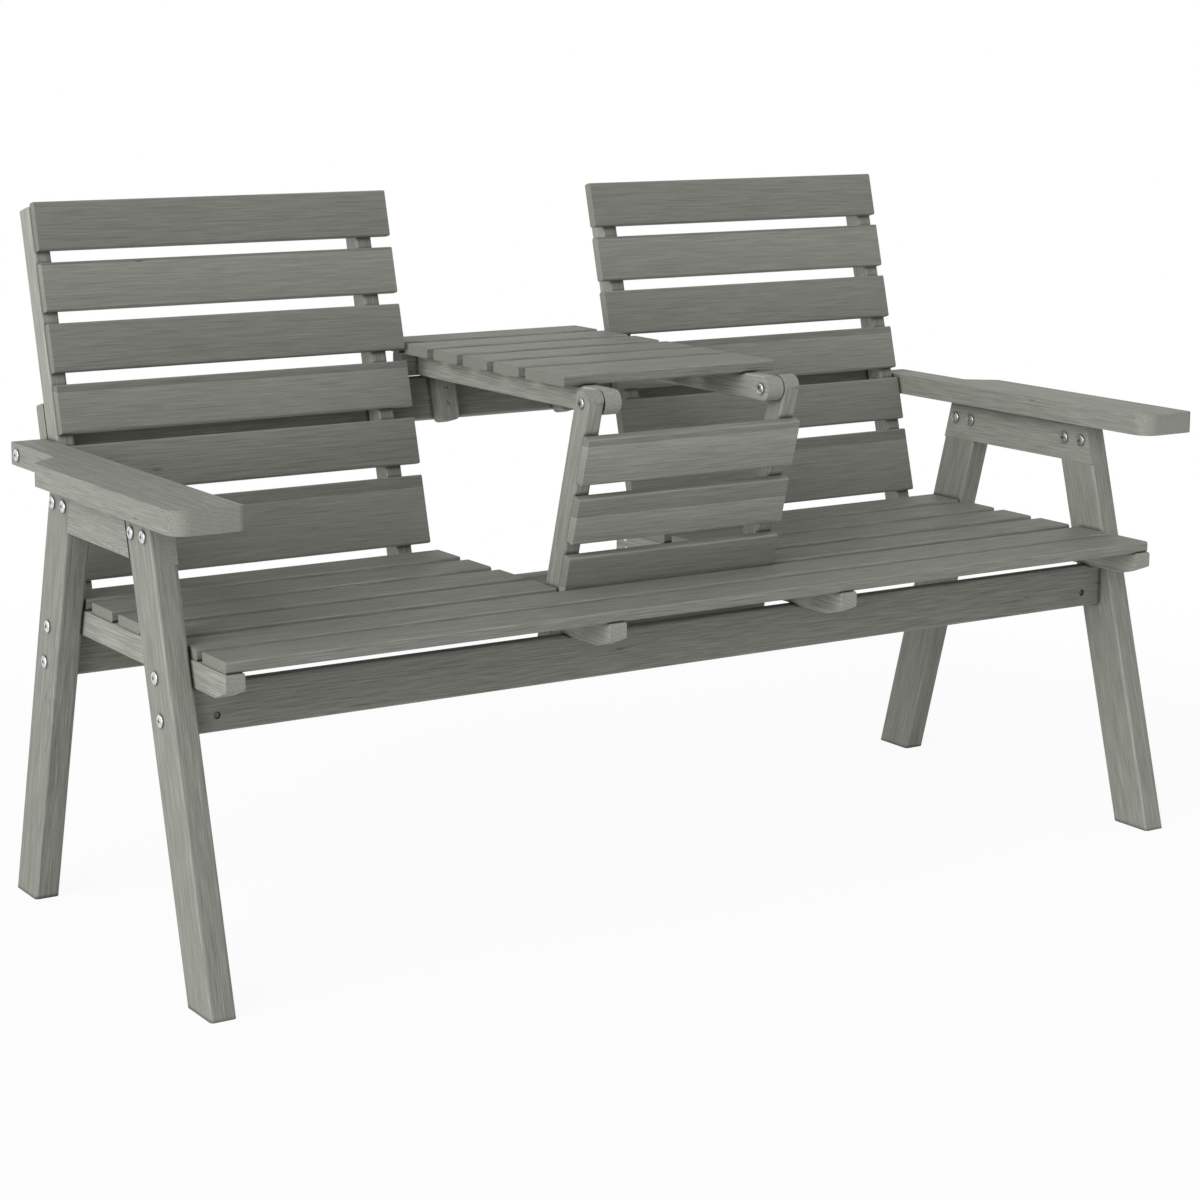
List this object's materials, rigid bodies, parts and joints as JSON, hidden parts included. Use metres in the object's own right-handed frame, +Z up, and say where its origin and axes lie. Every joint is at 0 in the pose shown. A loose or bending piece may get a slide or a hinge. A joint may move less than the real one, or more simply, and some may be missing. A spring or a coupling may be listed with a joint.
{
  "type": "convertible garden bench",
  "caption": "Garden bench in grey painted softwood whose slatted middle folds: its seat panel stands up and carries the middle back as a table, or lies flat as one more seat.",
  "frame": {"origin": "centre of the bounding box's bottom face, on the ground under the bench", "axes": "+X along the bench to the sitter's left, seen from the front to the right; -Y towards the front; +Z up"},
  "size_m": [1.6, 0.694, 0.9306],
  "materials": {
    "leg_wood": "grey-green paint, satin, grain showing",
    "frame_wood": "grey-green paint, satin, grain showing",
    "slat_wood": "grey-green paint, satin, grain showing",
    "bare_wood": "bare beech",
    "zinc_steel": "bright zinc plate"
  },
  "bodies": {
    "bench_frame": {"front_leg_left": "leg_wood", "front_leg_right": "leg_wood", "rear_leg_left": "leg_wood", "rear_leg_right": "leg_wood", "arm_support_left": "frame_wood", "arm_support_right": "frame_wood", "armrest_left": "leg_wood", "armrest_right": "leg_wood", "front_stretcher": "frame_wood", "rear_stretcher": "frame_wood", "seat_rail_end_left": "frame_wood", "seat_rail_middle_left": "frame_wood", "seat_rail_middle_right": "frame_wood", "seat_rail_end_right": "frame_wood", "seat_slat_front": "slat_wood", "seat_slat_second": "slat_wood", "seat_slat_row_3": "slat_wood", "seat_slat_row_4": "slat_wood", "seat_slat_row_5": "slat_wood", "seat_slat_row_6": "slat_wood", "back_stiles": "frame_wood", "back_slat_row_1": "slat_wood", "back_slat_row_2": "slat_wood", "back_slat_row_3": "slat_wood", "back_slat_row_4": "slat_wood", "back_slat_row_5": "slat_wood", "back_slat_row_6": "slat_wood", "back_cross_rail": "frame_wood", "rest_blocks": "frame_wood", "rail_bolts": "zinc_steel", "stretcher_bolts": "zinc_steel", "hex_nuts": "zinc_steel", "barrel_nuts": "zinc_steel", "arm_bolts": "zinc_steel", "sleeve_nuts": "zinc_steel", "arm_dowels": "bare_wood", "slat_screws": "zinc_steel", "frame_screws": "zinc_steel", "lower_pivot_bolts": "zinc_steel", "lower_pivot_spacers": "zinc_steel"},
    "seat_panel": {"panel_stile_left": "frame_wood", "panel_stile_right": "frame_wood", "panel_slat_1": "slat_wood", "panel_slat_2": "slat_wood", "panel_slat_3": "slat_wood", "panel_slat_4": "slat_wood", "panel_screws": "zinc_steel", "upper_pivot_bolts": "zinc_steel", "upper_pivot_caps": "zinc_steel", "upper_pivot_washers": "zinc_steel"},
    "table_top": {"table_rail_left": "frame_wood", "table_rail_right": "frame_wood", "table_slat_1": "slat_wood", "table_slat_2": "slat_wood", "table_slat_3": "slat_wood", "table_slat_4": "slat_wood", "table_slat_5": "slat_wood", "table_slat_6": "slat_wood", "table_batten": "frame_wood", "table_screws": "zinc_steel"}
  },
  "joints": [
    {"name": "seat_panel_hinge", "type": "hinge", "parent": "bench_frame", "child": "seat_panel", "pos_m": [0, -0.12286, 0.387], "axis": [1, 0, 0], "range_deg": [-105.8, 0]},
    {"name": "table_hinge", "type": "hinge", "parent": "seat_panel", "child": "table_top", "pos_m": [0, -0.21836, 0.68213], "axis": [1, 0, 0], "range_deg": [0, 181.9]}
  ],
  "couplings": [
    {"joint": "table_hinge", "follows": "seat_panel_hinge", "ratio": -1.7186}
  ]
}
